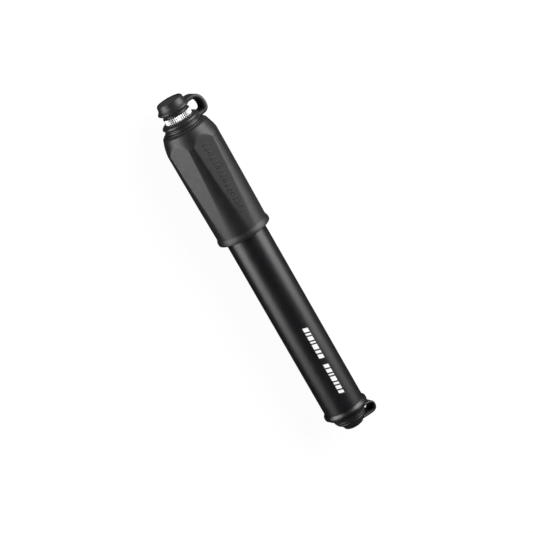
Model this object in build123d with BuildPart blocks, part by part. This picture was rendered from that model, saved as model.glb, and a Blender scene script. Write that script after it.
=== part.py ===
"""Mini pump with a sliding grip and a hose stored in its hollow rod.

Units are millimetres. +X runs along the pump towards the grip's cap, +Z is up, and both cap straps
are on the -Y side. X is 0 at the middle of the pump's length, and the pump's axis is Y = Z = 0.
"""

import os
from math import cos, radians, sin

from build123d import *

os.makedirs("parts", exist_ok=True)

# ---- fits
SEAT = 0.03  # gap between pieces that are pressed or moulded together
RUN = 0.07  # radial gap of a running fit
END_GAP = 0.1  # axial gap between pieces that move past each other
LOOSE = 0.3  # gap between the grip's core and the barrel

# ---- barrel
BARREL_R, BARREL_BORE_R = 10.4, 9.2
BARREL_X0, BARREL_X1 = -81.3, 68.0
HOME_GROOVE_X, HOME_GROOVE_WIDTH, HOME_GROOVE_DEPTH = 22.0, 0.8, 0.2
TUBE_END_CHAMFER = 0.3

# ---- outlet head: (x, radius) stations run away from the barrel
HEAD_TOP_X, HEAD_WALL = -68.0, 1.6
BEAD_R, BEAD_X0, BEAD_X1, BEAD_ROUND = 11.5, -83.8, -82.6, 0.8
BEAD_TOP_R, BEAD_BOTTOM_X, BEAD_BOTTOM_R = 10.5, -84.8, 10.4
NECK_R, NECK_X1 = 6.6, -86.9
PASSAGE_R = 1.2
CHAMBER_R, CHAMBER_X1 = 3.2, -76.4
RETAINER_R, RETAINER_LENGTH = 3.7, 1.5
PORT_R, PORT_X1 = 4.0, -85.2
PORT_MOUTH_R = 4.8
SEAL_GROOVE_X, SEAL_GROOVE_WIDTH, SEAL_GROOVE_R = -74.0, 2.1, 7.4

# ---- outlet check valve
VALVE_SEAL_R, VALVE_SEAL_LENGTH = 2.3, 0.8
VALVE_SEAT_GAP = 0.03
POPPET_R, POPPET_LENGTH = 2.7, 1.0
STEM_R, STEM_LENGTH = 0.9, 2.4
VALVE_COIL_R, VALVE_WIRE, VALVE_TURNS = 2.0, 0.45, 3.5
VALVE_PORT_R, VALVE_PORT_RING_R, VALVE_PORTS = 0.45, 2.3, 4
RETAINER_HOLE_R = 1.2

# ---- rod guide in the barrel's top
GUIDE_X0, GUIDE_FLANGE_X, GUIDE_X1 = 60.0, 68.0, 70.0
WIPER_R, WIPER_LENGTH = 7.4, 1.5
TOPOUT_LENGTH, TOPOUT_R = 2.0, 8.6

# ---- piston
PISTON_R, PISTON_X0, PISTON_X1 = 9.12, -64.5, -56.1
ORING_MINOR_R = 0.88
PISTON_SEAL_X, PISTON_SEAL_WIDTH, PISTON_SEAL_R = -61.0, 2.2, 7.4
WEAR_X, WEAR_WIDTH, WEAR_R = -57.8, 1.4, 8.1

# ---- hollow rod
ROD_R, ROD_BORE_R = 5.6, 4.7
ROD_X0, ROD_X1 = -56.0, 77.9
JOURNAL_R, PLUG_HEAD_R, PLUG_HEAD_X0, PLUG_SHANK_X1 = 4.3, 7.0, -67.6, -51.5

# ---- grip core and handle head
CORE_R, CORE_BORE_R = 11.8, 10.7
CORE_X0, CORE_STEP_X, CORE_X1, CORE_STEP_R = 23.2, 69.5, 75.0, 11.3
HEAD_SPIGOT_X0, HEAD_FLANGE_X1, HEAD_SHOULDER_X1, HEAD_NECK_X1 = 71.5, 76.4, 78.4, 83.25
HEAD_SHOULDER_R, HEAD_NECK_R = 9.0, 7.0
ROD_SOCKET_X1 = 78.0
BUMPER_LENGTH, BUMPER_R = 1.3, 9.8

# ---- rubber grip: (x, radius) stations from the flared rim up
GRIP_RIM_X, GRIP_RIM_R, GRIP_RIM_MOUTH_R = 19.6, 13.75, 11.6
GRIP_RIM_WIDTH, GRIP_RIM_ROUND = 1.5, 0.6
GRIP_WAIST_X, GRIP_WAIST_R = 22.8, 13.1
GRIP_TOP_X, GRIP_TOP_R = 70.5, 14.0
GRIP_SHOULDER_X, GRIP_SHOULDER_R = 77.7, 11.56
GRIP_FACE_X, GRIP_FACE_R, GRIP_FACE_ROUND = 78.5, 11.2, 0.5
GRIP_LIP_X, GRIP_LIP_R, GRIP_LIP_SLOPE, GRIP_LIP_WIDTH = 78.9, 9.9, 0.2, 0.75
FLATS, FLAT_UPPER_D, FLAT_LOWER_D = 6, 12.8, 13.1
FLAT_CUTTER_WIDTH, FLAT_CUTTER_HEIGHT = 16.0, 6.0

# ---- raised marks down the middle of two flats
MARK_FLATS, MARK_HEIGHT, MARK_SINK = (0, 180), 0.22, 0.4
MARK_X0, MARK_X1, MARK_COUNT = 32.5, 69.0, 16
MARK_WIDTH, MARK_LENGTH, MARK_TURN = 2.9, 0.8, 90
MARK_DOT_EVERY, MARK_DOT_PLACE = 3, 1  # one mark in three is a dot, the second of each three
MARK_DOT_R, MARK_DOT_HOLE_R = 0.95, 0.4

# ---- strap ring on the handle: (x, radius) stations from the top edge down
TOP_RING_OUTLINE = ((HEAD_NECK_X1, 7.65), (82.9, 8.5), (82.35, 9.2), (81.9, 9.45), (81.4, 9.45),
                    (81.0, 9.05), (80.55, 8.85), (80.15, 8.85), (79.9, 9.2), (79.6, 9.4), (79.35, 9.4),
                    (78.95, 9.1))
# ---- strap ring on the outlet head
BOTTOM_RING_OUTLINE = ((-84.85, 10.3), (-85.2, 10.1), (-85.5, 9.75), (-85.65, 9.25), (-85.85, 9.25),
                       (-86.3, 8.9), (-86.5, 8.45), (-86.85, 8.45))

# ---- top cap: (x, radius) stations from the rim disk up
TOP_CAP_OUTLINE = ((85.95, 6.9), (86.2, 6.9), (86.3, 6.0), (86.9, 6.0), (87.8, 7.4), (88.4, 8.05),
                   (89.0, 8.05), (89.6, 7.5), (90.4, 6.95), (91.4, 6.75), (92.65, 6.65))
TOP_CAP_DISH_RIM_R, TOP_CAP_DISH_X, TOP_CAP_TOP_X = 5.9, 92.55, 93.0
TOP_CAP_PLUG_R, TOP_CAP_PLUG_X = 4.3, 85.05
# ---- bottom cap: (x, radius) stations from the flange down
BOTTOM_CAP_OUTLINE = ((-87.0, 8.2), (-87.3, 8.45), (-87.9, 8.35), (-88.2, 7.8), (-88.5, 7.75),
                      (-88.75, 7.9), (-89.3, 7.55), (-89.5, 6.85), (-89.8, 6.7), (-90.3, 6.35),
                      (-91.0, 5.75), (-91.5, 5.45), (-92.2, 5.3), (-92.65, 4.95), (-92.9, 4.4))
BOTTOM_CAP_TIP_X = -93.0
BOTTOM_CAP_PLUG_R, BOTTOM_CAP_PLUG_X = 4.45, -85.5

# ---- straps: each loop is two halves that meet at its outermost line
STRAP_SPLIT_GAP = 0.05
TOP_STRAP_X, TOP_STRAP_R, TOP_STRAP_THICK = 83.6, 14.5, 2.2
TOP_STRAP_RING_ROOT = (80.15, -7.9)
TOP_STRAP_CAP_ROOT = (88.9, -6.9)
TOP_STRAP_RING_WIDTH, TOP_STRAP_CAP_WIDTH = 8.4, 7.6
BOTTOM_STRAP_X, BOTTOM_STRAP_R, BOTTOM_STRAP_THICK = -89.0, 13.1, 1.3
BOTTOM_STRAP_RING_ROOT = (-86.3, -7.4)
BOTTOM_STRAP_CAP_ROOT = (-91.3, -4.0)
BOTTOM_STRAP_WIDTH = 8.4
STRAP_ROOT_GAP = 0.05

# ---- hose
CHUCK_R, CHUCK_KNURL_DEPTH, CHUCK_KNURLS = 6.9, 0.22, 44
CHUCK_X0, CHUCK_X1 = 83.35, 85.85
CHUCK_SHANK_R, CHUCK_SHANK_X0, CHUCK_NOSE_R, CHUCK_NOSE_X0 = 5.3, 78.2, 4.5, 73.9
CHUCK_MOUTH_R, CHUCK_MOUTH_X = 4.6, 84.8
CHUCK_BORE_R, CHUCK_BORE_X0 = 3.9, 79.3
GASKET_R, GASKET_X0, GASKET_HOLE_R = 3.5, 77.6, 1.4
PIN_SEAT_R, PIN_SEAT_X0, PIN_FLANGE_LENGTH, PIN_R, PIN_X1 = 2.0, 76.3, 0.6, 0.6, 79.0
PIN_AIR_R, PIN_AIR_RING_R, PIN_AIR_HOLES = 0.3, 1.3, 3
BARB_R, BARB_BORE_R, BARB_X0 = 2.05, 1.2, 66.0
HOSE_R, HOSE_BORE_R, HOSE_X0, HOSE_X1 = 4.0, 2.1, -38.0, 73.8
FERRULE_R, FERRULE_LENGTH, FERRULE_CRIMP_R, FERRULE_CRIMP_WIDTH = 4.4, 7.0, 4.2, 1.2
CONNECTOR_R, CONNECTOR_X0, CONNECTOR_COLLAR_R, CONNECTOR_COLLAR_LENGTH = 3.9, -48.0, 4.4, 1.8
CONNECTOR_BARB_X1 = -31.0
CONNECTOR_SEAL_X, CONNECTOR_SEAL_WIDTH, CONNECTOR_SEAL_R, CONNECTOR_SEAL_MINOR_R = -46.4, 1.3, 2.9, 0.5


def turned(*outline):
    """A solid of revolution about the pump's axis from (x, radius) or (x, radius, rounding) corners."""
    with BuildPart() as solid:
        with BuildSketch(Plane.XZ) as section:
            with BuildLine():
                Polyline(*[(x, r) for x, r, *_ in outline], close=True)
            make_face()
            for x, r, *rounding in outline:
                if rounding:
                    fillet(section.vertices().sort_by_distance((x, r, 0))[0], rounding[0])
        revolve(axis=Axis.X)
    return solid


def tube(x0, x1, outer, inner):
    """A plain tube, or a plain rod when its inner radius is 0."""
    return turned((x0, inner), (x0, outer), (x1, outer), (x1, inner))


def ring_on_neck(outline, neck_r):
    """A moulded ring with the given outside, pressed on a round neck."""
    bore_r = neck_r + SEAT
    return turned((outline[0][0], bore_r), *outline, (outline[-1][0], bore_r))


def seal_ring(x, radius, section_r):
    """An O-ring whose section is centred at the given radius."""
    with BuildPart() as ring:
        with BuildSketch(Plane.XZ):
            with Locations((x, radius)):
                Circle(section_r)
        revolve(axis=Axis.X)
    return ring


def hole_ring(solid, x, length, hole_r, ring_r, count):
    """Cut a ring of holes parallel to the pump's axis, from x towards +X."""
    with BuildSketch(Plane.YZ.offset(x)) as holes:
        with PolarLocations(ring_r, count):
            Circle(hole_r)
    with solid:
        extrude(holes.sketch, amount=length, mode=Mode.SUBTRACT)


def strap_half(split_x, out_r, root, thick, width):
    """Half a strap loop: it leaves its root along -Y and ends along X at the loop's outermost line."""
    root_x, root_y = root
    side = 1 if split_x > root_x else -1
    end_x = split_x - side * STRAP_SPLIT_GAP
    away, along = (0, -1), (side, 0)
    outer_end, inner_end = (end_x, -out_r), (end_x, thick - out_r)
    outer_root, inner_root = (root_x - side * thick / 2, root_y), (root_x + side * thick / 2, root_y)
    with BuildPart() as half:
        with BuildSketch(Plane.XY):
            with BuildLine():
                Spline(outer_root, outer_end, tangents=(away, along))
                Line(outer_end, inner_end)
                Spline(inner_root, inner_end, tangents=(away, along))
                Line(inner_root, outer_root)
            make_face()
        extrude(amount=width / 2, both=True)
    return half


def clear_of(solid, outline, gap):
    """Cut a turned outline, grown by the gap in radius, out of a solid."""
    cutter = turned((outline[0][0], 0), *[(x, r + gap) for x, r in outline], (outline[-1][0], 0))
    with solid:
        add(cutter.part, mode=Mode.SUBTRACT)


def save(solid, label):
    solid.part.label = label
    export_step(solid.part, f"parts/{label}.step")


# ---- barrel body
barrel_tube = turned(
    (BARREL_X0, BARREL_BORE_R),
    (BARREL_X0, BARREL_R),
    (HOME_GROOVE_X, BARREL_R),
    (HOME_GROOVE_X, BARREL_R - HOME_GROOVE_DEPTH),
    (HOME_GROOVE_X + HOME_GROOVE_WIDTH, BARREL_R - HOME_GROOVE_DEPTH),
    (HOME_GROOVE_X + HOME_GROOVE_WIDTH, BARREL_R),
    (BARREL_X1 - TUBE_END_CHAMFER, BARREL_R),
    (BARREL_X1, BARREL_R - TUBE_END_CHAMFER),
    (BARREL_X1, BARREL_BORE_R),
)
save(barrel_tube, "barrel_tube")

head_fit_r = BARREL_BORE_R - SEAT
retainer_x0 = CHAMBER_X1 - RETAINER_LENGTH
outlet_head = turned(
    (HEAD_TOP_X, PASSAGE_R),
    (HEAD_TOP_X, head_fit_r - TUBE_END_CHAMFER),
    (HEAD_TOP_X - TUBE_END_CHAMFER, head_fit_r),
    (SEAL_GROOVE_X + SEAL_GROOVE_WIDTH, head_fit_r),
    (SEAL_GROOVE_X + SEAL_GROOVE_WIDTH, SEAL_GROOVE_R),
    (SEAL_GROOVE_X, SEAL_GROOVE_R),
    (SEAL_GROOVE_X, head_fit_r),
    (BARREL_X0, head_fit_r),
    (BARREL_X0, BEAD_TOP_R),
    (BEAD_X1, BEAD_R, BEAD_ROUND),
    (BEAD_X0, BEAD_R, BEAD_ROUND),
    (BEAD_BOTTOM_X, BEAD_BOTTOM_R),
    (BEAD_BOTTOM_X, NECK_R),
    (NECK_X1, NECK_R),
    (NECK_X1, PORT_MOUTH_R),
    (PORT_X1, PORT_MOUTH_R),
    (PORT_X1, PORT_R),
    (retainer_x0, PORT_R),
    (retainer_x0, RETAINER_R),
    (CHAMBER_X1, RETAINER_R),
    (CHAMBER_X1, CHAMBER_R),
    (HEAD_TOP_X - HEAD_WALL, CHAMBER_R),
    (HEAD_TOP_X - HEAD_WALL, PASSAGE_R),
)
save(outlet_head, "outlet_head")

outlet_head_oring = seal_ring(
    SEAL_GROOVE_X + SEAL_GROOVE_WIDTH / 2,
    BARREL_BORE_R - SEAT - ORING_MINOR_R + SEAT / 2,
    ORING_MINOR_R - SEAT / 2,
)
save(outlet_head_oring, "outlet_head_oring")

check_valve_retainer = tube(retainer_x0, CHAMBER_X1, RETAINER_R - SEAT, RETAINER_HOLE_R)
hole_ring(check_valve_retainer, retainer_x0, RETAINER_LENGTH, VALVE_PORT_R, VALVE_PORT_RING_R, VALVE_PORTS)
save(check_valve_retainer, "check_valve_retainer")

seal_x1 = HEAD_TOP_X - HEAD_WALL - VALVE_SEAT_GAP
poppet_x1 = seal_x1 - VALVE_SEAL_LENGTH
poppet_x0 = poppet_x1 - POPPET_LENGTH
check_valve_seal = tube(poppet_x1, seal_x1, VALVE_SEAL_R, 0)
save(check_valve_seal, "check_valve_seal")

check_valve_poppet = turned(
    (poppet_x1, 0),
    (poppet_x1, POPPET_R),
    (poppet_x0, POPPET_R),
    (poppet_x0, STEM_R),
    (poppet_x0 - STEM_LENGTH, STEM_R),
    (poppet_x0 - STEM_LENGTH, 0),
)
save(check_valve_poppet, "check_valve_poppet")

coil_length = poppet_x0 - CHAMBER_X1 - 2 * VALVE_WIRE
with BuildPart() as check_valve_spring:
    with BuildLine() as coil:
        Helix(
            pitch=coil_length / VALVE_TURNS,
            height=coil_length,
            radius=VALVE_COIL_R,
            center=(CHAMBER_X1 + VALVE_WIRE, 0, 0),
            direction=(1, 0, 0),
        )
    with BuildSketch(Plane(coil.line @ 0, z_dir=coil.line % 0)):
        Rectangle(VALVE_WIRE, VALVE_WIRE)
    sweep(path=coil.line, is_frenet=True)
save(check_valve_spring, "check_valve_spring")

rod_guide_bush = turned(
    (GUIDE_X0, ROD_R + RUN),
    (GUIDE_X0, head_fit_r),
    (GUIDE_FLANGE_X, head_fit_r),
    (GUIDE_FLANGE_X, BARREL_R - TUBE_END_CHAMFER),
    (GUIDE_X1 - TUBE_END_CHAMFER, BARREL_R - TUBE_END_CHAMFER),
    (GUIDE_X1, BARREL_R - 2 * TUBE_END_CHAMFER),
    (GUIDE_X1, WIPER_R),
    (GUIDE_X1 - WIPER_LENGTH, WIPER_R),
    (GUIDE_X1 - WIPER_LENGTH, ROD_R + RUN),
)
save(rod_guide_bush, "rod_guide_bush")

rod_wiper = tube(GUIDE_X1 - WIPER_LENGTH, GUIDE_X1, WIPER_R - SEAT, ROD_R + SEAT)
save(rod_wiper, "rod_wiper")

topout_bumper = tube(GUIDE_X0 - TOPOUT_LENGTH, GUIDE_X0, TOPOUT_R, ROD_R + LOOSE)
save(topout_bumper, "topout_bumper")

bottom_cap_ring = ring_on_neck(BOTTOM_RING_OUTLINE, NECK_R)
save(bottom_cap_ring, "bottom_cap_ring")

bottom_strap_base = strap_half(
    BOTTOM_STRAP_X, BOTTOM_STRAP_R, BOTTOM_STRAP_RING_ROOT, BOTTOM_STRAP_THICK, BOTTOM_STRAP_WIDTH
)
clear_of(bottom_strap_base, (*BOTTOM_RING_OUTLINE, *BOTTOM_CAP_OUTLINE), STRAP_ROOT_GAP)
save(bottom_strap_base, "bottom_strap_base")

# ---- piston body
piston_seal_x0, piston_seal_x1 = PISTON_SEAL_X - PISTON_SEAL_WIDTH / 2, PISTON_SEAL_X + PISTON_SEAL_WIDTH / 2
wear_x0, wear_x1 = WEAR_X - WEAR_WIDTH / 2, WEAR_X + WEAR_WIDTH / 2
piston_head = turned(
    (PISTON_X0, JOURNAL_R + RUN),
    (PISTON_X0, PISTON_R - TUBE_END_CHAMFER),
    (PISTON_X0 + TUBE_END_CHAMFER, PISTON_R),
    (piston_seal_x0, PISTON_R),
    (piston_seal_x0, PISTON_SEAL_R),
    (piston_seal_x1, PISTON_SEAL_R),
    (piston_seal_x1, PISTON_R),
    (wear_x0, PISTON_R),
    (wear_x0, WEAR_R),
    (wear_x1, WEAR_R),
    (wear_x1, PISTON_R),
    (PISTON_X1, PISTON_R),
    (PISTON_X1, JOURNAL_R + RUN),
)
save(piston_head, "piston_head")

piston_oring = seal_ring(PISTON_SEAL_X, BARREL_BORE_R - SEAT - ORING_MINOR_R, ORING_MINOR_R)
save(piston_oring, "piston_oring")

piston_wear_ring = tube(wear_x0 + SEAT, wear_x1 - SEAT, BARREL_BORE_R - SEAT, WEAR_R + SEAT)
save(piston_wear_ring, "piston_wear_ring")

# ---- handle body: rod
piston_rod = turned(
    (ROD_X0, ROD_BORE_R),
    (ROD_X0, ROD_R - TUBE_END_CHAMFER),
    (ROD_X0 + TUBE_END_CHAMFER, ROD_R),
    (ROD_X1, ROD_R),
    (ROD_X1, ROD_BORE_R),
)
save(piston_rod, "piston_rod")

plug_head_x1 = PISTON_X0 - END_GAP
rod_end_plug = turned(
    (PLUG_HEAD_X0, 0),
    (PLUG_HEAD_X0, PLUG_HEAD_R, TUBE_END_CHAMFER),
    (plug_head_x1, PLUG_HEAD_R),
    (plug_head_x1, JOURNAL_R),
    (ROD_X0, JOURNAL_R),
    (ROD_X0, ROD_BORE_R - SEAT),
    (PLUG_SHANK_X1, ROD_BORE_R - SEAT),
    (PLUG_SHANK_X1, 0),
)
save(rod_end_plug, "rod_end_plug")

# ---- handle body: core, head and grip
handle_core = turned(
    (CORE_X0, CORE_BORE_R),
    (CORE_X0, CORE_R),
    (CORE_STEP_X, CORE_R),
    (CORE_STEP_X, CORE_STEP_R),
    (CORE_X1, CORE_STEP_R),
    (CORE_X1, CORE_BORE_R),
)
save(handle_core, "handle_core")

handle_head = turned(
    (HEAD_SPIGOT_X0, ROD_R + SEAT),
    (HEAD_SPIGOT_X0, CORE_BORE_R - SEAT),
    (CORE_X1, CORE_BORE_R - SEAT),
    (CORE_X1, CORE_STEP_R),
    (HEAD_FLANGE_X1, CORE_STEP_R),
    (HEAD_FLANGE_X1, HEAD_SHOULDER_R),
    (HEAD_SHOULDER_X1, HEAD_SHOULDER_R),
    (HEAD_SHOULDER_X1, HEAD_NECK_R),
    (HEAD_NECK_X1, HEAD_NECK_R),
    (HEAD_NECK_X1, CHUCK_SHANK_R + RUN),
    (ROD_SOCKET_X1, CHUCK_SHANK_R + RUN),
    (ROD_SOCKET_X1, ROD_R + SEAT),
)
save(handle_head, "handle_head")

bottoming_bumper = tube(HEAD_SPIGOT_X0 - BUMPER_LENGTH, HEAD_SPIGOT_X0, BUMPER_R, ROD_R + SEAT)
save(bottoming_bumper, "bottoming_bumper")


def flat_plane(angle, x):
    """The plane of one grip flat: its origin is at x on the flat's centre line, angle is from +Z."""
    slope = (FLAT_UPPER_D - FLAT_LOWER_D) / (GRIP_TOP_X - GRIP_WAIST_X)
    distance = FLAT_LOWER_D + slope * (x - GRIP_WAIST_X)
    turn = radians(angle)
    out = Vector(0, -sin(turn), cos(turn))
    return Plane(
        origin=out * distance + Vector(x, 0, 0),
        x_dir=Vector(1, 0, 0) + out * slope,
        z_dir=out - Vector(slope, 0, 0),
    )


grip_overmold = turned(
    (GRIP_RIM_X, GRIP_RIM_MOUTH_R),
    (GRIP_RIM_X, GRIP_RIM_R, GRIP_RIM_ROUND),
    (GRIP_RIM_X + GRIP_RIM_WIDTH, GRIP_RIM_R, GRIP_RIM_ROUND),
    (GRIP_WAIST_X, GRIP_WAIST_R),
    (GRIP_TOP_X, GRIP_TOP_R),
    (GRIP_SHOULDER_X, GRIP_SHOULDER_R, GRIP_FACE_ROUND),
    (GRIP_FACE_X, GRIP_FACE_R - GRIP_FACE_ROUND),
    (GRIP_FACE_X, GRIP_LIP_R),
    (GRIP_LIP_X, GRIP_LIP_R - GRIP_LIP_SLOPE),
    (GRIP_LIP_X, GRIP_LIP_R - GRIP_LIP_WIDTH),
    (HEAD_SHOULDER_X1, HEAD_SHOULDER_R + SEAT),
    (HEAD_FLANGE_X1 + SEAT, HEAD_SHOULDER_R + SEAT),
    (HEAD_FLANGE_X1 + SEAT, CORE_STEP_R + SEAT),
    (CORE_STEP_X + SEAT, CORE_STEP_R + SEAT),
    (CORE_STEP_X + SEAT, CORE_R + SEAT),
    (CORE_X0 - SEAT, CORE_R + SEAT),
    (CORE_X0 - SEAT, GRIP_RIM_MOUTH_R),
)
flat_mid_x = (GRIP_WAIST_X + GRIP_SHOULDER_X) / 2
flat_length = GRIP_SHOULDER_X - GRIP_WAIST_X
mark_pitch = (MARK_X1 - MARK_X0) / (MARK_COUNT - 1)
for index in range(FLATS):
    with BuildSketch(flat_plane(index * 360 / FLATS, flat_mid_x)) as flat:
        Rectangle(flat_length, FLAT_CUTTER_WIDTH)
    with grip_overmold:
        extrude(flat.sketch, amount=FLAT_CUTTER_HEIGHT, mode=Mode.SUBTRACT)
for angle in MARK_FLATS:
    with BuildSketch(flat_plane(angle, MARK_X0).offset(-MARK_SINK)) as marks:
        for index in range(MARK_COUNT):
            with Locations((index * mark_pitch, 0)):
                if index % MARK_DOT_EVERY == MARK_DOT_PLACE:
                    Circle(MARK_DOT_R)
                    Circle(MARK_DOT_HOLE_R, mode=Mode.SUBTRACT)
                else:
                    SlotOverall(MARK_WIDTH, MARK_LENGTH, rotation=MARK_TURN)
    with grip_overmold:
        extrude(marks.sketch, amount=MARK_SINK + MARK_HEIGHT)
save(grip_overmold, "grip_overmold")

top_cap_ring = ring_on_neck(TOP_RING_OUTLINE, HEAD_NECK_R)
save(top_cap_ring, "top_cap_ring")

top_strap_base = strap_half(
    TOP_STRAP_X, TOP_STRAP_R, TOP_STRAP_RING_ROOT, TOP_STRAP_THICK, TOP_STRAP_RING_WIDTH
)
clear_of(top_strap_base, TOP_RING_OUTLINE, STRAP_ROOT_GAP)
save(top_strap_base, "top_strap_base")

# ---- top cap body
top_cap = turned(
    (TOP_CAP_PLUG_X, 0),
    (TOP_CAP_PLUG_X, TOP_CAP_PLUG_R),
    (TOP_CAP_OUTLINE[0][0], TOP_CAP_PLUG_R),
    *TOP_CAP_OUTLINE,
    (TOP_CAP_TOP_X, TOP_CAP_OUTLINE[-1][1] - (TOP_CAP_TOP_X - TOP_CAP_OUTLINE[-1][0])),
    (TOP_CAP_TOP_X, TOP_CAP_DISH_RIM_R),
    (TOP_CAP_DISH_X, 0),
)
save(top_cap, "top_cap")

top_strap_cap = strap_half(
    TOP_STRAP_X, TOP_STRAP_R, TOP_STRAP_CAP_ROOT, TOP_STRAP_THICK, TOP_STRAP_CAP_WIDTH
)
clear_of(top_strap_cap, TOP_CAP_OUTLINE, STRAP_ROOT_GAP)
save(top_strap_cap, "top_strap_cap")

# ---- bottom cap body
bottom_cap = turned(
    (BOTTOM_CAP_PLUG_X, 0),
    (BOTTOM_CAP_PLUG_X, BOTTOM_CAP_PLUG_R),
    (BOTTOM_CAP_OUTLINE[0][0], BOTTOM_CAP_PLUG_R),
    *BOTTOM_CAP_OUTLINE,
    (BOTTOM_CAP_TIP_X, 0),
)
save(bottom_cap, "bottom_cap")

bottom_strap_cap = strap_half(
    BOTTOM_STRAP_X, BOTTOM_STRAP_R, BOTTOM_STRAP_CAP_ROOT, BOTTOM_STRAP_THICK, BOTTOM_STRAP_WIDTH
)
clear_of(bottom_strap_cap, BOTTOM_CAP_OUTLINE, STRAP_ROOT_GAP)
save(bottom_strap_cap, "bottom_strap_cap")

# ---- hose body: chuck
chuck_body = turned(
    (CHUCK_X0, CHUCK_BORE_R),
    (CHUCK_X0, CHUCK_SHANK_R),
    (CHUCK_SHANK_X0, CHUCK_SHANK_R),
    (CHUCK_SHANK_X0, CHUCK_NOSE_R),
    (CHUCK_NOSE_X0, CHUCK_NOSE_R),
    (CHUCK_NOSE_X0, BARB_R),
    (BARB_X0, BARB_R),
    (BARB_X0, BARB_BORE_R),
    (PIN_SEAT_X0, BARB_BORE_R),
    (PIN_SEAT_X0, PIN_SEAT_R),
    (GASKET_X0, PIN_SEAT_R),
    (GASKET_X0, GASKET_R),
    (CHUCK_BORE_X0, GASKET_R),
    (CHUCK_BORE_X0, CHUCK_BORE_R),
)
knurl_step = radians(180 / CHUCK_KNURLS)
knurl_radii = [CHUCK_R, CHUCK_R - CHUCK_KNURL_DEPTH] * CHUCK_KNURLS
knurl_points = [(r * cos(i * knurl_step), r * sin(i * knurl_step)) for i, r in enumerate(knurl_radii)]
knurled_lengths = ((CHUCK_X0, CHUCK_MOUTH_X, CHUCK_BORE_R), (CHUCK_MOUTH_X, CHUCK_X1, CHUCK_MOUTH_R))
for x0, x1, bore_r in knurled_lengths:
    with BuildSketch(Plane.YZ.offset(x0)) as knurled_ring:
        with BuildLine():
            Polyline(*knurl_points, close=True)
        make_face()
        Circle(bore_r, mode=Mode.SUBTRACT)
    with chuck_body:
        extrude(knurled_ring.sketch, amount=x1 - x0)
save(chuck_body, "chuck_body")

chuck_gasket = tube(GASKET_X0, CHUCK_BORE_X0 - SEAT, GASKET_R - SEAT, GASKET_HOLE_R)
save(chuck_gasket, "chuck_gasket")

pin_flange_x1 = PIN_SEAT_X0 + PIN_FLANGE_LENGTH
chuck_valve_pin = turned(
    (PIN_SEAT_X0, 0),
    (PIN_SEAT_X0, PIN_SEAT_R - SEAT),
    (pin_flange_x1, PIN_SEAT_R - SEAT),
    (pin_flange_x1, PIN_R),
    (PIN_X1, PIN_R),
    (PIN_X1, 0),
)
hole_ring(chuck_valve_pin, PIN_SEAT_X0, PIN_FLANGE_LENGTH, PIN_AIR_R, PIN_AIR_RING_R, PIN_AIR_HOLES)
save(chuck_valve_pin, "chuck_valve_pin")

# ---- hose body: tube and connector
hose_tube = tube(HOSE_X0, HOSE_X1, HOSE_R, HOSE_BORE_R)
save(hose_tube, "hose_tube")


def ferrule(x0):
    """A crimped sleeve over the hose, with a waist in its middle."""
    mid = x0 + FERRULE_LENGTH / 2
    return turned(
        (x0, HOSE_R + SEAT),
        (x0, FERRULE_R),
        (mid - FERRULE_CRIMP_WIDTH, FERRULE_R),
        (mid - FERRULE_CRIMP_WIDTH / 2, FERRULE_CRIMP_R),
        (mid + FERRULE_CRIMP_WIDTH / 2, FERRULE_CRIMP_R),
        (mid + FERRULE_CRIMP_WIDTH, FERRULE_R),
        (x0 + FERRULE_LENGTH, FERRULE_R),
        (x0 + FERRULE_LENGTH, HOSE_R + SEAT),
    )


save(ferrule(HOSE_X1 - FERRULE_LENGTH), "chuck_ferrule")
save(ferrule(HOSE_X0), "connector_ferrule")

connector_seal_x1 = CONNECTOR_SEAL_X + CONNECTOR_SEAL_WIDTH
hose_connector = turned(
    (CONNECTOR_X0, BARB_BORE_R),
    (CONNECTOR_X0, CONNECTOR_R - TUBE_END_CHAMFER),
    (CONNECTOR_X0 + TUBE_END_CHAMFER, CONNECTOR_R),
    (CONNECTOR_SEAL_X, CONNECTOR_R),
    (CONNECTOR_SEAL_X, CONNECTOR_SEAL_R),
    (connector_seal_x1, CONNECTOR_SEAL_R),
    (connector_seal_x1, CONNECTOR_R),
    (HOSE_X0 - CONNECTOR_COLLAR_LENGTH, CONNECTOR_R),
    (HOSE_X0 - CONNECTOR_COLLAR_LENGTH, CONNECTOR_COLLAR_R),
    (HOSE_X0, CONNECTOR_COLLAR_R),
    (HOSE_X0, BARB_R),
    (CONNECTOR_BARB_X1, BARB_R),
    (CONNECTOR_BARB_X1, BARB_BORE_R),
)
save(hose_connector, "hose_connector")

connector_oring = seal_ring(
    CONNECTOR_SEAL_X + CONNECTOR_SEAL_WIDTH / 2,
    CONNECTOR_SEAL_R + SEAT + CONNECTOR_SEAL_MINOR_R,
    CONNECTOR_SEAL_MINOR_R,
)
save(connector_oring, "connector_oring")
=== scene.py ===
"""Looks for the mini pump: materials, smooth rubber parts, cap straps, print, light and camera."""

import math

import bmesh
import bpy
from mathutils import Matrix, Vector


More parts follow.
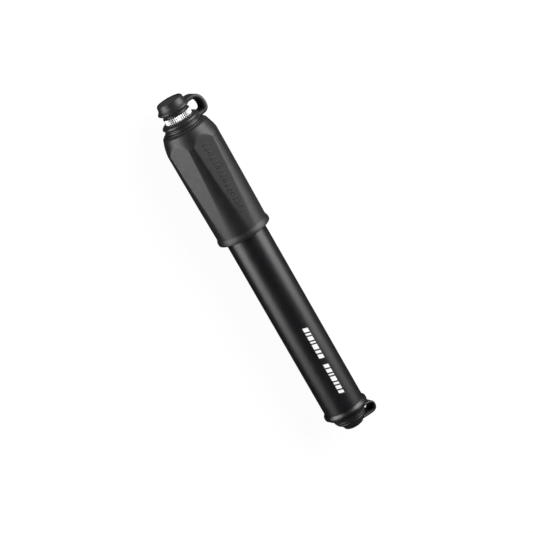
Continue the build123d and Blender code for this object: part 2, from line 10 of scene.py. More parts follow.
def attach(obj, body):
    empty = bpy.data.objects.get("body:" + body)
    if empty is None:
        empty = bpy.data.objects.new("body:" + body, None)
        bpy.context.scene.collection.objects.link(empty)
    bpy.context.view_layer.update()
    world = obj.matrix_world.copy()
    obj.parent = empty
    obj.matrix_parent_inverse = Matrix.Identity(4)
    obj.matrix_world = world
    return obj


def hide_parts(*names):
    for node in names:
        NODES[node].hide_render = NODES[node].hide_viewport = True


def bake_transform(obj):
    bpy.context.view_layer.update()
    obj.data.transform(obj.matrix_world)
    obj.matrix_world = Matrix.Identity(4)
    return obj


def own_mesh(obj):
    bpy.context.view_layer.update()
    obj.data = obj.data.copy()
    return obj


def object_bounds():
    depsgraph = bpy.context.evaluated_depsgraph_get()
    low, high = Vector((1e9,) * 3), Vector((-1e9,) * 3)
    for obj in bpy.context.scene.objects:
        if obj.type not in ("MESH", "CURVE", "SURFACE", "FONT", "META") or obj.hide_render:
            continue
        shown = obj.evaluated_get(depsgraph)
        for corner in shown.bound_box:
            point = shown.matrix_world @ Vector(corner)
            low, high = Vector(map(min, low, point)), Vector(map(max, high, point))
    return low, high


MM = 0.001
AROUND = 128  # steps round the pump's axis
TINY = 1e-6  # lengths and angles below this count as nothing
MERGE_M, SLIVER_M = 1e-7, 1e-8  # meshes join vertices and drop edges below these lengths
FULL_TURN = 2 * math.pi

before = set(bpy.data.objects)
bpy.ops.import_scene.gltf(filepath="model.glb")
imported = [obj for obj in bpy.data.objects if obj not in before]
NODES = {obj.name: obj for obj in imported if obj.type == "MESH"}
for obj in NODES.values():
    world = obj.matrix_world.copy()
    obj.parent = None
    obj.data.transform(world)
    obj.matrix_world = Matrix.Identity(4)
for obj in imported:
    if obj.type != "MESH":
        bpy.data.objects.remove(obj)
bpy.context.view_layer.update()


# ---------------------------------------------------------------- small helpers
def link(obj):
    bpy.context.scene.collection.objects.link(obj)
    return obj


def mesh_object(name, verts, faces, material):
    """A smooth mesh object from vertices in millimetres, with its finish in its material slot."""
    mesh = bpy.data.meshes.new(name)
    mesh.from_pydata([[c * MM for c in v] for v in verts], [], faces)
    work = bmesh.new()
    work.from_mesh(mesh)
    bmesh.ops.recalc_face_normals(work, faces=work.faces)
    work.to_mesh(mesh)
    work.free()
    mesh.shade_smooth()
    mesh.materials.append(material)
    obj = link(bpy.data.objects.new(name, mesh))
    return obj


def band(first, second, count):
    """The faces between two closed rings of vertices, each given by its first vertex."""
    return [(first + k, first + (k + 1) % count, second + (k + 1) % count, second + k) for k in range(count)]


def on_axis(x, r, angle):
    """A point at radius r and an angle in radians from +Z towards +Y."""
    return (x, r * math.sin(angle), r * math.cos(angle))


def rounded(outline, radius, steps=5, longest_cut=0.48):
    """Round a closed outline's corners. A corner may carry its own radius as a third number.

    A rounding takes up to longest_cut of each side next to its corner.
    """
    out, count = [], len(outline)
    for i, corner in enumerate(outline):
        here = Vector(corner[:2])
        back, ahead = Vector(outline[i - 1][:2]), Vector(outline[(i + 1) % count][:2])
        own = corner[2] if len(corner) > 2 else radius
        a, b = back - here, ahead - here
        if own <= 0 or a.length < TINY or b.length < TINY:
            out.append(tuple(here))
            continue
        cut = min(own / math.tan(a.angle(b) / 2), longest_cut * a.length, longest_cut * b.length)
        p, q = here + a.normalized() * cut, here + b.normalized() * cut
        for s in range(steps + 1):
            t = s / steps
            out.append(tuple(p * (1 - t) ** 2 + here * 2 * t * (1 - t) + q * t**2))
    return out


def lathe(name, outline, material, body, replaces, radius=0.1, around=AROUND, reshape=None):
    """A closed solid turned about the pump's axis from an outline of (x, r) corners.

    It rides a body and replaces a CAD node. reshape gives another radius for each x, r and angle.
    """
    ring = rounded(outline, radius)
    verts, faces, rows = [], [], len(ring)
    for x, r in ring:
        for k in range(around):
            angle = FULL_TURN * k / around
            verts.append(on_axis(x, reshape(x, r, angle) if reshape else max(r, 0.0), angle))
    for i in range(rows):
        j = (i + 1) % rows
        if ring[i][1] >= TINY or ring[j][1] >= TINY:
            faces += band(i * around, j * around, around)
    obj = mesh_object(name, verts, faces, material)
    work = bmesh.new()
    work.from_mesh(obj.data)
    bmesh.ops.remove_doubles(work, verts=work.verts, dist=MERGE_M)
    bmesh.ops.dissolve_degenerate(work, edges=work.edges, dist=SLIVER_M)
    bmesh.ops.recalc_face_normals(work, faces=work.faces)
    work.to_mesh(obj.data)
    work.free()
    crisp = obj.modifiers.new("crisp_steps", "WEIGHTED_NORMAL")
    crisp.weight, crisp.keep_sharp = 100, True
    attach(obj, body)
    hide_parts(replaces)


# ---------------------------------------------------------------- materials
NOISE_LOW, NOISE_HIGH = 0.3, 0.7
FLOOR_GLOW = 0.96
KNURL_TEETH = 88  # round the collar
TURNING_MARKS = 42000  # radians per metre along the axis


class Nodes:
    """Short calls for building a material's node tree."""

    def __init__(self, name):
        self.material = bpy.data.materials.new(name)
        self.material.use_nodes = True
        self.tree = self.material.node_tree
        self.shader = self.tree.nodes["Principled BSDF"]
        self.coords = self.add("ShaderNodeTexCoord").outputs["Object"]

    def add(self, kind, **settings):
        node = self.tree.nodes.new(kind)
        for key, value in settings.items():
            setattr(node, key, value)
        return node

    def wire(self, source, target):
        self.tree.links.new(source, target)

    def noise(self, scale, detail=3.0, rough=0.55, vector=None):
        node = self.add("ShaderNodeTexNoise")
        node.inputs["Scale"].default_value = scale
        node.inputs["Detail"].default_value = detail
        node.inputs["Roughness"].default_value = rough
        self.wire(vector or self.coords, node.inputs["Vector"])
        return node.outputs["Fac"]

    def cells(self, scale):
        node = self.add("ShaderNodeTexVoronoi")
        node.inputs["Scale"].default_value = scale
        self.wire(self.coords, node.inputs["Vector"])
        return node.outputs["Distance"]

    def spread(self, source, low, high):
        """Map a noise pattern, which stays near its middle, to a range of numbers."""
        node = self.add("ShaderNodeMapRange")
        ends = {"From Min": NOISE_LOW, "From Max": NOISE_HIGH, "To Min": low, "To Max": high}
        for key, value in ends.items():
            node.inputs[key].default_value = value
        self.wire(source, node.inputs["Value"])
        return node.outputs["Result"]

    def tint(self, source, dark, light, from_low=0.35, from_high=0.65):
        """Colour the shader from dark to light by a pattern."""
        node = self.add("ShaderNodeValToRGB")
        node.color_ramp.elements[0].position = from_low
        node.color_ramp.elements[1].position = from_high
        node.color_ramp.elements[0].color = (*dark, 1)
        node.color_ramp.elements[1].color = (*light, 1)
        self.wire(source, node.inputs["Fac"])
        self.wire(node.outputs["Color"], self.shader.inputs["Base Color"])

    def math(self, operation, a, b=None):
        """A maths node. Each input is a number or another node's output."""
        node = self.add("ShaderNodeMath", operation=operation)
        for socket, value in zip(node.inputs, (a, b)):
            if isinstance(value, (int, float)):
                socket.default_value = value
            elif value is not None:
                self.wire(value, socket)
        return node.outputs[0]

    def bump(self, source, height_mm, strength, under=None):
        """A bump from a pattern, on top of another bump if one is given."""
        node = self.add("ShaderNodeBump")
        node.inputs["Strength"].default_value = strength
        node.inputs["Distance"].default_value = height_mm * MM
        self.wire(source, node.inputs["Height"])
        if under is not None:
            self.wire(under, node.inputs["Normal"])
        return node.outputs["Normal"]

    def turn(self):
        """Angle round the pump's axis in radians."""
        split = self.add("ShaderNodeSeparateXYZ")
        self.wire(self.coords, split.inputs[0])
        return self.math("ARCTAN2", split.outputs["Y"], split.outputs["Z"])

    def along(self):
        split = self.add("ShaderNodeSeparateXYZ")
        self.wire(self.coords, split.inputs[0])
        return split.outputs["X"]

    def set(self, **values):
        for key, value in values.items():
            self.shader.inputs[key.replace("_", " ")].default_value = value

    def finish(self, roughness=None, normal=None):
        if roughness is not None:
            self.wire(roughness, self.shader.inputs["Roughness"])
        if normal is not None:
            self.wire(normal, self.shader.inputs["Normal"])
        return self.material


def barrel_material():
    """Black anodised tube: a satin sheen with a very fine drawn grain along it."""
    m = Nodes("barrel_satin_black")
    m.tint(m.noise(scale=140, detail=4), dark=(0.003, 0.003, 0.004), light=(0.006, 0.006, 0.007))
    stretch = m.add("ShaderNodeMapping")
    stretch.inputs["Scale"].default_value = (0.06, 1, 1)
    m.wire(m.coords, stretch.inputs["Vector"])
    drawn = m.noise(scale=5200, detail=2, vector=stretch.outputs[0])
    m.set(Metallic=0.0, Specular_IOR_Level=0.62)
    grain = m.bump(m.noise(scale=9000, detail=2), height_mm=0.004, strength=0.5)
    rough = m.spread(m.noise(scale=420, detail=4), low=0.34, high=0.40)
    return m.finish(rough, m.bump(drawn, height_mm=0.003, strength=0.4, under=grain))


def rubber_material(name, dark, light, rough, grain_mm, grain_scale):
    """Moulded rubber: fine pebbled grain over a faint slow unevenness."""
    m = Nodes(name)
    m.tint(m.noise(scale=260, detail=5), dark, light)
    m.set(Specular_IOR_Level=0.45, Sheen_Weight=0.05, Sheen_Roughness=0.5)
    slow = m.bump(m.noise(scale=90, detail=2), height_mm=0.02, strength=0.35)
    grain = m.bump(m.cells(grain_scale), grain_mm, strength=0.5, under=slow)
    return m.finish(m.spread(m.noise(scale=700, detail=4), low=rough - 0.03, high=rough + 0.04), grain)


def chuck_material():
    """Bright plated collar with a fine straight knurl cut round it."""
    m = Nodes("chuck_bright_knurl")
    m.tint(m.noise(scale=900, detail=4), dark=(0.40, 0.40, 0.41), light=(0.46, 0.46, 0.47))
    m.set(Metallic=1.0)
    teeth = m.math("SINE", m.math("MULTIPLY", m.turn(), KNURL_TEETH))
    fine = m.bump(m.noise(scale=6000, detail=3), height_mm=0.004, strength=0.5)
    rough = m.spread(m.noise(scale=1500, detail=4), low=0.36, high=0.44)
    return m.finish(rough, m.bump(teeth, height_mm=0.03, strength=0.6, under=fine))


def metal_material(name, dark, light, rough):
    """Turned metal: fine rings cut round the axis."""
    m = Nodes(name)
    m.tint(m.noise(scale=500, detail=4), dark, light)
    m.set(Metallic=1.0)
    rings = m.math("SINE", m.math("MULTIPLY", m.along(), TURNING_MARKS))
    fine = m.bump(m.noise(scale=5000, detail=3), height_mm=0.003, strength=0.5)
    uneven = m.spread(m.noise(scale=900, detail=4), low=rough - 0.05, high=rough + 0.06)
    return m.finish(uneven, m.bump(rings, height_mm=0.002, strength=0.4, under=fine))


def plastic_material(name, dark, light, rough):
    """Moulded plastic with a fine grain."""
    m = Nodes(name)
    m.tint(m.noise(scale=300, detail=4), dark, light)
    uneven = m.spread(m.noise(scale=800, detail=4), low=rough - 0.04, high=rough + 0.05)
    return m.finish(uneven, m.bump(m.noise(scale=4000, detail=3), height_mm=0.006, strength=0.5))


def ink_material():
    """White screen print: slightly uneven, with pin-point wear."""
    m = Nodes("barrel_print_ink")
    worn, fresh = (0.55, 0.55, 0.55), (0.86, 0.86, 0.86)
    m.tint(m.noise(scale=2600, detail=5), worn, fresh, from_low=0.30, from_high=0.46)
    uneven = m.spread(m.noise(scale=1500, detail=4), low=0.42, high=0.55)
    return m.finish(uneven, m.bump(m.noise(scale=7000, detail=3), height_mm=0.004, strength=0.5))


def floor_material():
    """A white ground that glows just below full white, so that edges against it stay clean."""
    m = Nodes("floor_white")
    m.tint(m.noise(scale=3, detail=2), dark=(0.04, 0.04, 0.04), light=(0.05, 0.05, 0.05))
    m.set(Roughness=0.9, Specular_IOR_Level=0.0, Emission_Color=(1, 1, 1, 1), Emission_Strength=FLOOR_GLOW)
    return m.finish()


BARREL = barrel_material()
GRIP = rubber_material(
    "grip_rubber_fine", dark=(0.004, 0.004, 0.0045), light=(0.008, 0.008, 0.009), rough=0.46,
    grain_mm=0.008, grain_scale=5200,
)
CAP = rubber_material(
    "cap_rubber_smooth", dark=(0.007, 0.007, 0.0075), light=(0.012, 0.012, 0.013), rough=0.42,
    grain_mm=0.008, grain_scale=4200,
)
SEAL = rubber_material(
    "seal_rubber_gloss", dark=(0.010, 0.010, 0.010), light=(0.015, 0.015, 0.015), rough=0.35,
    grain_mm=0.004, grain_scale=6000,
)
HOSE = rubber_material(
    "hose_rubber_ribbed", dark=(0.015, 0.015, 0.015), light=(0.024, 0.024, 0.024), rough=0.50,
    grain_mm=0.015, grain_scale=3000,
)
CHUCK = chuck_material()
ROD = metal_material("rod_polished", dark=(0.62, 0.63, 0.65), light=(0.74, 0.75, 0.77), rough=0.22)
BRASS = metal_material("fitting_brass", dark=(0.62, 0.44, 0.17), light=(0.78, 0.60, 0.28), rough=0.28)
STEEL = metal_material("spring_wire", dark=(0.50, 0.50, 0.51), light=(0.66, 0.66, 0.67), rough=0.30)
PLASTIC = plastic_material(
    "inner_black_plastic", dark=(0.030, 0.030, 0.032), light=(0.050, 0.050, 0.053), rough=0.45
)
POPPET = plastic_material("white_acetal", dark=(0.62, 0.62, 0.58), light=(0.74, 0.74, 0.70), rough=0.35)
INK = ink_material()

# finishes set on the material slots of CAD nodes kept as imported
NODE_MATERIALS = {
    CHUCK: ("chuck_body",),
    ROD: ("piston_rod", "rod_end_plug"),
    BRASS: ("chuck_ferrule", "connector_ferrule", "hose_connector", "chuck_valve_pin"),
    HOSE: ("hose_tube",),
    SEAL: ("outlet_head_oring", "check_valve_seal", "rod_wiper", "topout_bumper", "bottoming_bumper",
           "piston_oring", "chuck_gasket", "connector_oring"),
    PLASTIC: ("handle_core", "handle_head", "rod_guide_bush", "check_valve_retainer", "piston_head"),
    POPPET: ("check_valve_poppet", "piston_wear_ring"),
}
for material, names in NODE_MATERIALS.items():
    for name in names:
        for slot in NODES[name].material_slots:
            slot.material = material

# ---------------------------------------------------------------- barrel and outlet head
BARREL_R, BARREL_BORE_R = 10.4, 9.2
BARREL_X0, BARREL_X1 = -81.3, 68.0
HOME_GROOVE_X0, HOME_GROOVE_X1, HOME_GROOVE_R = 22.0, 22.8, 10.2
BARREL_CHAMFER = 0.25
HEAD_R, HEAD_FIT_R, HEAD_TOP_X = 9.15, 9.17, -68.0
SEAL_GROOVE_X0, SEAL_GROOVE_X1, SEAL_GROOVE_R, SEAL_GROOVE_ROUND = -74.0, -71.9, 7.4, 0.05
BEAD_R, BEAD_X0, BEAD_X1, BEAD_ROUND, BEAD_EDGE = 11.5, -83.8, -82.6, 0.35, 0.1
BEAD_TOP_R, BEAD_BOTTOM_X, BEAD_BOTTOM_R = 10.5, -84.8, 10.4
NECK_R, NECK_X = 6.6, -86.9
PORT_R, PORT_MOUTH_R, PORT_X = 4.0, 4.8, -85.2
RETAINER_R, RETAINER_X0, RETAINER_X1 = 3.7, -77.9, -76.4
CHAMBER_R, CHAMBER_X1 = 3.2, -69.6
PASSAGE_R = 1.2

lathe(
    "barrel_shell",
    ((BARREL_X0, BARREL_BORE_R), (BARREL_X0, BARREL_R), (HOME_GROOVE_X0, BARREL_R),
     (HOME_GROOVE_X0, HOME_GROOVE_R), (HOME_GROOVE_X1, HOME_GROOVE_R), (HOME_GROOVE_X1, BARREL_R),
     (BARREL_X1 - BARREL_CHAMFER, BARREL_R), (BARREL_X1, BARREL_R - BARREL_CHAMFER),
     (BARREL_X1, BARREL_BORE_R)),
    BARREL, "barrel", "barrel_tube", radius=0.03,
)
lathe(
    "outlet_bead",
    ((HEAD_TOP_X, PASSAGE_R), (HEAD_TOP_X, HEAD_R), (SEAL_GROOVE_X1, HEAD_R, SEAL_GROOVE_ROUND),
     (SEAL_GROOVE_X1, SEAL_GROOVE_R, SEAL_GROOVE_ROUND), (SEAL_GROOVE_X0, SEAL_GROOVE_R, SEAL_GROOVE_ROUND),
     (SEAL_GROOVE_X0, HEAD_R, SEAL_GROOVE_ROUND), (BARREL_X0, HEAD_FIT_R, 0),
     (BARREL_X0, BEAD_TOP_R, BEAD_EDGE), (BEAD_X1, BEAD_R, BEAD_ROUND), (BEAD_X0, BEAD_R, BEAD_ROUND),
     (BEAD_BOTTOM_X, BEAD_BOTTOM_R, BEAD_EDGE),
     (BEAD_BOTTOM_X, NECK_R), (NECK_X, NECK_R), (NECK_X, PORT_MOUTH_R), (PORT_X, PORT_MOUTH_R),
     (PORT_X, PORT_R), (RETAINER_X0, PORT_R), (RETAINER_X0, RETAINER_R), (RETAINER_X1, RETAINER_R),
     (RETAINER_X1, CHAMBER_R), (CHAMBER_X1, CHAMBER_R), (CHAMBER_X1, PASSAGE_R)),
    BARREL, "barrel", "outlet_head", radius=0.08,
)

# ---------------------------------------------------------------- grip
FLAT_PITCH = math.radians(60)
FLAT_X0, FLAT_X1, FLAT_D0, FLAT_D1 = 22.8, 70.5, 13.1, 12.8  # where the flats run, and how far out they are
FLAT_LEAD, FLAT_MIN_R = 0.5, 11.9  # the flats start this far before FLAT_X0, and spare the inside
EDGE_SOFTNESS, SOFT_REACH = 0.07, 12  # rounding of the flats' edges, and its reach as a multiple
GRIP_STEP, GRIP_AROUND = 0.45, 720  # mesh steps along and round the grip


def flat_distance(x):
    """How far a flat is from the axis at x."""
    return FLAT_D0 + (FLAT_D1 - FLAT_D0) * (x - FLAT_X0) / (FLAT_X1 - FLAT_X0)


def grip_radius(x, r, angle):
    """Cut the six flats into the turned grip, with a small round on their edges."""
    if r < FLAT_MIN_R or x < FLAT_X0 - FLAT_LEAD:
        return r
    off = (angle + FLAT_PITCH / 2) % FLAT_PITCH - FLAT_PITCH / 2
    flat = flat_distance(x) / math.cos(off)
    gap = (flat - r) / EDGE_SOFTNESS
    if gap > SOFT_REACH:
        return r
    return r - EDGE_SOFTNESS * math.log1p(math.exp(-gap)) if gap > -SOFT_REACH else flat


def fine_outline(outline, step):
    """Add points along the long runs of an outline, so the flats keep clean edges."""
    out = []
    for i, p in enumerate(outline):
        q = outline[(i + 1) % len(outline)]
        out.append(p)
        pieces = int((Vector(q[:2]) - Vector(p[:2])).length / step)
        for k in range(1, pieces):
            t = k / pieces
            out.append((p[0] + (q[0] - p[0]) * t, p[1] + (q[1] - p[1]) * t))
    return out


# outside from the flared rim up to the lip, then the bore back down; each corner has its rounding
GRIP_OUTLINE = (
    (19.6, 11.6, 0.2), (19.6, 13.75, 0.5), (21.1, 13.72, 0.6), (22.8, 13.1, 0.8), (70.5, 14.0, 0.25),
    (77.6, 11.62, 0.9), (78.5, 10.7, 0.4), (78.5, 9.95, 0.08), (78.9, 9.7, 0.1), (78.9, 9.15, 0.1),
    (78.4, 9.03, 0), (76.43, 9.03, 0), (76.43, 11.33, 0), (69.53, 11.33, 0), (69.53, 11.83, 0),
    (23.17, 11.83, 0), (23.17, 11.6, 0),
)
grip_points = fine_outline(rounded(GRIP_OUTLINE, 0), GRIP_STEP)
lathe(
    "grip_sleeve", [(x, r, 0) for x, r in grip_points], GRIP, "handle", "grip_overmold",
    around=GRIP_AROUND, reshape=grip_radius,
)


MARK_FLATS, MARK_COUNT, MARK_X0, MARK_X1 = (0, 3), 16, 32.5, 69.0
MARK_HEIGHT, MARK_SINK, MARK_STEPS = 0.22, 0.15, 40
DOT_EVERY, DOT_PLACE, DOT_R, DOT_HOLE_R, DOT_HOLE_EDGE = 3, 1, 0.95, 0.4, 0.12
BAR_HALF_WIDTH, BAR_HALF_LENGTH = 1.45, 0.4
MARK_LAYERS = ((1.0, -MARK_SINK), (1.0, MARK_HEIGHT * 0.55), (0.93, MARK_HEIGHT * 0.9), (0.80, MARK_HEIGHT))
BAR_TOP = (0.02, MARK_HEIGHT * 1.02)  # a layer is its scale and its height over the flat
DOT_HOLE = (((DOT_HOLE_R + DOT_HOLE_EDGE) / DOT_R, MARK_HEIGHT), (DOT_HOLE_R / DOT_R, MARK_HEIGHT * 0.6),
            (DOT_HOLE_R / DOT_R, -MARK_SINK))
BAR_KEEPS = 0.9  # a bar's straight part keeps its width until the scale is below 1 minus this


def mark_point(is_dot, k, scale):
    """A point on the k-th step round a mark's outline, as (along, across), shrunk by a scale."""
    angle = FULL_TURN * k / MARK_STEPS
    if is_dot:
        return DOT_R * math.cos(angle) * scale, DOT_R * math.sin(angle) * scale
    core = BAR_HALF_LENGTH * math.sin(angle)
    side = math.copysign(BAR_HALF_WIDTH - BAR_HALF_LENGTH, math.sin(angle))
    reach = math.copysign(max(abs(core + side) - abs(side), 0), side)
    core = core + side - reach
    return BAR_HALF_LENGTH * math.cos(angle) * scale, core * min(1, scale + BAR_KEEPS) + reach * scale


def grip_marks():
    """Raised dots and bars down the middle of two flats, each a small dome with soft edges."""
    verts, faces = [], []
    for flat in MARK_FLATS:
        turn = flat * FLAT_PITCH
        for index in range(MARK_COUNT):
            x = MARK_X0 + (MARK_X1 - MARK_X0) * index / (MARK_COUNT - 1)
            is_dot = index % DOT_EVERY == DOT_PLACE
            layers = (*MARK_LAYERS, *DOT_HOLE) if is_dot else (*MARK_LAYERS, BAR_TOP)
            for number, (scale, lift) in enumerate(layers):
                if number:
                    faces += band(len(verts) - MARK_STEPS, len(verts), MARK_STEPS)
                for k in range(MARK_STEPS):
                    along, across = mark_point(is_dot, k, scale)
                    out = flat_distance(x + along) + lift
                    y = across * math.cos(turn) + out * math.sin(turn)
                    z = out * math.cos(turn) - across * math.sin(turn)
                    verts.append((x + along, y, z))
            if not is_dot:
                faces.append(tuple(range(len(verts) - MARK_STEPS, len(verts))))
    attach(mesh_object("grip_raised_marks", verts, faces, GRIP), "handle")


grip_marks()

# ---------------------------------------------------------------- rubber rings and caps
# corners are (x, radius, rounding), from the inside round the visible face and back
lathe(
    "top_ring",
    ((83.25, 7.05), (83.25, 7.65, 0.1), (82.9, 8.5, 0.3), (82.35, 9.2, 0.3), (81.9, 9.45, 0.2),
     (81.4, 9.45, 0.1), (81.0, 9.0, 0.1), (80.55, 8.8, 0.2), (80.15, 8.8, 0.1), (79.9, 9.25, 0.1),
     (79.6, 9.4, 0.15), (79.35, 9.4, 0.15), (78.95, 9.1, 0.1), (78.95, 7.05)),
    CAP, "handle", "top_cap_ring",
)
lathe(
    "top_cap_moulding",
    ((85.05, 0, 0), (85.05, 4.3, 0.2), (85.95, 4.3, 0.05), (85.95, 6.9, 0.08), (86.2, 6.9, 0.08),
     (86.3, 6.0, 0.08), (86.9, 6.0, 0.3), (87.8, 7.4, 0.4), (88.4, 8.05, 0.3), (89.0, 8.05, 0.35),
     (89.6, 7.5, 0.5), (90.4, 6.95, 0.8), (91.4, 6.75, 0.6), (92.5, 6.66, 0.05),
     (92.55, 6.5, 0.04), (92.68, 6.5, 0.04), (93.0, 6.3, 0.12), (93.0, 5.95, 0.15), (92.6, 5.4, 0.5),
     (92.55, 0, 0)),
    CAP, "top_cap", "top_cap",
)
lathe(
    "bottom_ring",
    ((-84.85, 6.65), (-84.85, 10.3, 0.08), (-85.2, 10.1, 0.15), (-85.5, 9.75, 0.1), (-85.65, 9.2, 0.08),
     (-85.85, 9.2, 0.08), (-86.0, 9.15, 0.1), (-86.35, 8.9, 0.15), (-86.5, 8.4, 0.08), (-86.85, 8.4, 0.08),
     (-86.85, 6.65)),
    CAP, "barrel", "bottom_cap_ring", radius=0.08,
)
lathe(
    "bottom_cap_moulding",
    ((-85.5, 0, 0), (-85.5, 4.45, 0.2), (-87.0, 4.45, 0.05), (-87.0, 8.2, 0.08), (-87.3, 8.45, 0.15),
     (-87.9, 8.35, 0.2), (-88.2, 7.75, 0.08), (-88.5, 7.7, 0.08), (-88.75, 7.9, 0.12), (-89.3, 7.55, 0.15),
     (-89.5, 6.8, 0.08), (-89.8, 6.7, 0.1), (-90.3, 6.35, 0.3), (-91.0, 5.75, 0.4), (-91.5, 5.45, 0.3),
     (-92.2, 5.3, 0.3), (-92.65, 4.95, 0.3), (-92.95, 4.3, 0.3), (-93.0, 0, 0)),
    CAP, "bottom_cap", "bottom_cap",
)

# ---------------------------------------------------------------- straps
STRAP_CORNER, CORNER_STEPS = 0.42, 6  # the corner's radius is a share of the thickness
NURBS_ORDER, NURBS_STEPS = 4, 14


def smooth_line(name, points):
    """Points along a smooth line through the XY plane, steered by a few control points."""
    curve = bpy.data.curves.new(name, "CURVE")
    curve.dimensions = "3D"
    spline = curve.splines.new("NURBS")
    spline.points.add(len(points) - 1)
    for point, (x, y) in zip(spline.points, points):
        point.co = (x * MM, y * MM, 0, 1)
    spline.order_u, spline.use_endpoint_u, spline.resolution_u = NURBS_ORDER, True, NURBS_STEPS
    line_obj = link(bpy.data.objects.new(name, curve))
    line = [v.co / MM for v in bpy.data.meshes.new_from_object(line_obj).vertices]
    bpy.data.objects.remove(line_obj)
    return line


def strap_section(thick):
    """Corner signs and corner offsets round a strap's section."""
    corner, section = thick * STRAP_CORNER, []
    for sx, sy, first in ((1, 1, 0), (-1, 1, 90), (-1, -1, 180), (1, -1, 270)):
        for k in range(CORNER_STEPS + 1):
            a = math.radians(first + 90 * k / CORNER_STEPS)
            section.append((sx, sy, corner * math.cos(a), corner * math.sin(a)))
    return section


def strap(name, points, widths, thick, replaced):
    """A rubber strap swept along a smooth line in the XY plane, with rounded edges and a varying width."""
    line, section = smooth_line(name + "_line", points), strap_section(thick)
    verts, faces, per, last = [], [], len(section), len(line) - 1
    half, corner = thick / 2, thick * STRAP_CORNER
    for i, p in enumerate(line):
        tangent = (line[min(i + 1, last)] - line[max(i - 1, 0)]).normalized()
        normal = Vector((tangent.y, -tangent.x, 0))
        place = i / last * (len(widths) - 1)
        low = min(int(place), len(widths) - 2)
        width = widths[low] + (widths[low + 1] - widths[low]) * (place - low)
        for sx, sy, cx, cy in section:
            side = sy * (width / 2 - corner) + cy
            verts.append(tuple(p + normal * (sx * (half - corner) + cx) + Vector((0, 0, side))))
    for i in range(last):
        faces += band(i * per, (i + 1) * per, per)
    faces += [tuple(range(per)), tuple(range(last * per, (last + 1) * per))]
    obj = mesh_object(name, verts, faces, CAP)
    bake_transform(obj)
    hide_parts(*replaced)


strap(
    "top_strap",
    ((80.2, -7.9), (80.1, -10.2), (80.3, -12.6), (82.0, -13.6), (84.4, -13.7), (87.2, -13.0),
     (88.8, -11.0), (89.0, -9.2), (88.9, -6.3)),
    widths=(8.4, 8.4, 8.2, 8.0, 7.8, 7.6, 7.6), thick=2.2,
    replaced=("top_strap_base", "top_strap_cap"),
)
strap(
    "bottom_strap",
    ((-86.35, -7.5), (-86.5, -9.6), (-86.9, -11.5), (-88.1, -12.6), (-89.7, -12.7), (-91.2, -12.2),
     (-91.9, -10.6), (-91.8, -8.4), (-91.4, -4.2)),
    widths=(9.6, 8.8, 8.4), thick=1.3,
    replaced=("bottom_strap_base", "bottom_strap_cap"),
)


# ---------------------------------------------------------------- check valve spring
SPRING_SEAT, SPRING_X0, SPRING_X1 = -76.4, -75.95, -71.88  # the retainer's face, then the wire's centre ends
SPRING_R, WIRE_R, SPRING_TURNS, SPRING_KEEP = 2.0, 0.22, 3.5, 0.75
COIL_STEPS, WIRE_STEPS = 168, 12


def valve_spring():
    """A round-wire coil set out from the retainer's face, at one fixed length."""
    verts, faces = [], []
    for i in range(COIL_STEPS + 1):
        t = i / COIL_STEPS
        angle = FULL_TURN * SPRING_TURNS * t
        for k in range(WIRE_STEPS):
            bend = FULL_TURN * k / WIRE_STEPS
            x = SPRING_X0 + (SPRING_X1 - SPRING_X0) * t + WIRE_R * math.sin(bend)
            verts.append(on_axis(x, SPRING_R + WIRE_R * math.cos(bend), angle))
    for i in range(COIL_STEPS):
        faces += band(i * WIRE_STEPS, (i + 1) * WIRE_STEPS, WIRE_STEPS)
    faces += [tuple(range(WIRE_STEPS)), tuple(range(COIL_STEPS * WIRE_STEPS, len(verts)))]
    obj = mesh_object("valve_spring_coil", verts, faces, STEEL)
    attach(obj, "barrel")
    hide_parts("check_valve_spring")
    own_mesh(obj)


valve_spring()


# ---------------------------------------------------------------- white print on the barrel
PRINT_CENTRE, PRINT_HALF_HEIGHT, PRINT_R = math.radians(7.7), 1.3, 10.43
PRINT_SLANT, PRINT_GAP, PRINT_ROWS, PRINT_COLS = 0.35, 0.75, 12, 3
PRINT_GROUPS = (  # each group's first x, and its blocks' lengths
    (-34.0, (2.2, 1.1, 2.2, 0.9, 2.8, 1.5, 2.2)),
    (-55.0, (2.0, 2.0, 0.9, 2.6, 1.2, 2.0, 1.6)),
)


def barrel_print():
    """Two groups of slanted blocks that follow the tube, a hair above its surface."""
    verts, faces, per_row = [], [], PRINT_COLS + 1
    for x, lengths in PRINT_GROUPS:
        for length in lengths:
            base = len(verts)
            for i in range(PRINT_ROWS + 1):
                high = -PRINT_HALF_HEIGHT + 2 * PRINT_HALF_HEIGHT * i / PRINT_ROWS
                for j in range(per_row):
                    px = x - length * j / PRINT_COLS - PRINT_SLANT * high
                    verts.append(on_axis(px, PRINT_R, PRINT_CENTRE - high / PRINT_R))
            for i in range(PRINT_ROWS):
                for j in range(PRINT_COLS):
                    a = base + i * per_row + j
                    faces.append((a, a + 1, a + per_row + 1, a + per_row))
            x -= length + PRINT_GAP
    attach(mesh_object("barrel_print_blocks", verts, faces, INK), "barrel")


barrel_print()

# ---------------------------------------------------------------- floor, light and camera
LOW_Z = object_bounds()[0].z
CAM_ROUND = math.radians(20)  # camera direction round the axis, from +Z towards +Y
CAM_LEAN = math.radians(17)  # camera direction leans this far towards +X
CAM_DISTANCE, LENS, SENSOR = 1.122, 158.8, 36.0
CAM_PAN, CAM_RISE = 0.00126, -0.0002  # how far the camera sits right of and above the pump's middle
PICTURE_TILT = math.radians(29.87)
FLOOR_HALF = 6  # metres
BOX_ROUND, BOX_LEAN = math.radians(70), math.radians(16)  # a softbox's turn from the camera, and its lean
BOX_DISTANCE, BOX_WIDTH, BOX_LENGTH, BOX_POWER = 0.7, 0.58, 0.9, 12.0
WORLD_COLOUR = (0.02, 0.02, 0.022, 1)

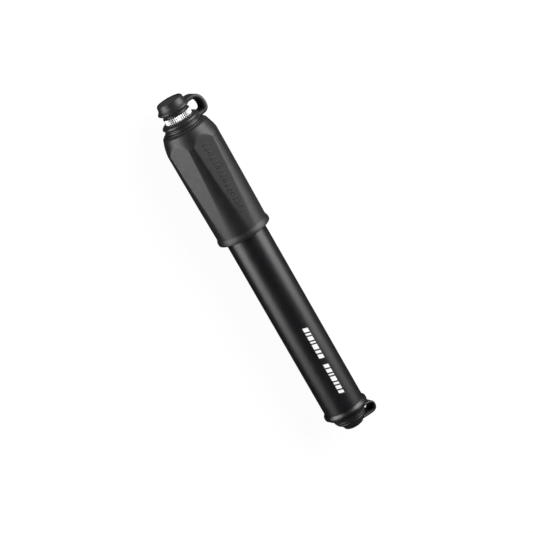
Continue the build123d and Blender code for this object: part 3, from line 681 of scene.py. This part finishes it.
floor_mesh = bpy.data.meshes.new("floor")
floor_corners = [(x * FLOOR_HALF, y * FLOOR_HALF, 0) for x, y in ((-1, -1), (1, -1), (1, 1), (-1, 1))]
floor_mesh.from_pydata(floor_corners, [], [(0, 1, 2, 3)])
floor_mesh.materials.append(floor_material())
floor = link(bpy.data.objects.new("floor", floor_mesh))
floor.location = (0, 0, LOW_Z)
floor.visible_glossy = False
floor.visible_diffuse = False


def round_axis(angle, lean):
    """A unit direction at an angle round the pump's axis from +Z towards +Y, leaning towards +X."""
    out = Vector((0, math.sin(angle), math.cos(angle)))
    return Vector((math.sin(lean), 0, 0)) + out * math.cos(lean)


def placed(obj, at, side, up, back):
    """Put an object somewhere with its own X, Y and Z along three directions."""
    obj.matrix_world = Matrix.Translation(at) @ Matrix((side, up, back)).transposed().to_4x4()


def along_from(back):
    """The direction nearest to +X that is square to another direction."""
    return (Vector((1, 0, 0)) - back * back.x).normalized()


def softbox(name, back):
    """A long soft light that faces the pump's middle from the given direction."""
    light = bpy.data.lights.new(name, "AREA")
    light.shape, light.size, light.size_y, light.energy = "RECTANGLE", BOX_LENGTH, BOX_WIDTH, BOX_POWER
    side = along_from(back)
    placed(link(bpy.data.objects.new(name, light)), back * BOX_DISTANCE, side, back.cross(side), back)


softbox("softbox_left", round_axis(CAM_ROUND + BOX_ROUND, BOX_LEAN))
softbox("softbox_right", round_axis(CAM_ROUND - BOX_ROUND, BOX_LEAN))

world = bpy.data.worlds.new("studio")
world.use_nodes = True
world.node_tree.nodes["Background"].inputs["Color"].default_value = WORLD_COLOUR
world.node_tree.nodes["Background"].inputs["Strength"].default_value = 1.0
bpy.context.scene.world = world
bpy.context.scene.view_settings.view_transform = "Standard"

back = round_axis(CAM_ROUND, CAM_LEAN)
across = along_from(back)
beside = across.cross(back)
right = -math.sin(PICTURE_TILT) * across + math.cos(PICTURE_TILT) * beside
up = math.cos(PICTURE_TILT) * across + math.sin(PICTURE_TILT) * beside
camera_data = bpy.data.cameras.new("camera")
camera_data.lens, camera_data.sensor_width = LENS, SENSOR
camera = link(bpy.data.objects.new("camera", camera_data))
placed(camera, back * CAM_DISTANCE + right * CAM_PAN + up * CAM_RISE, right, up, back)
bpy.context.scene.camera = camera
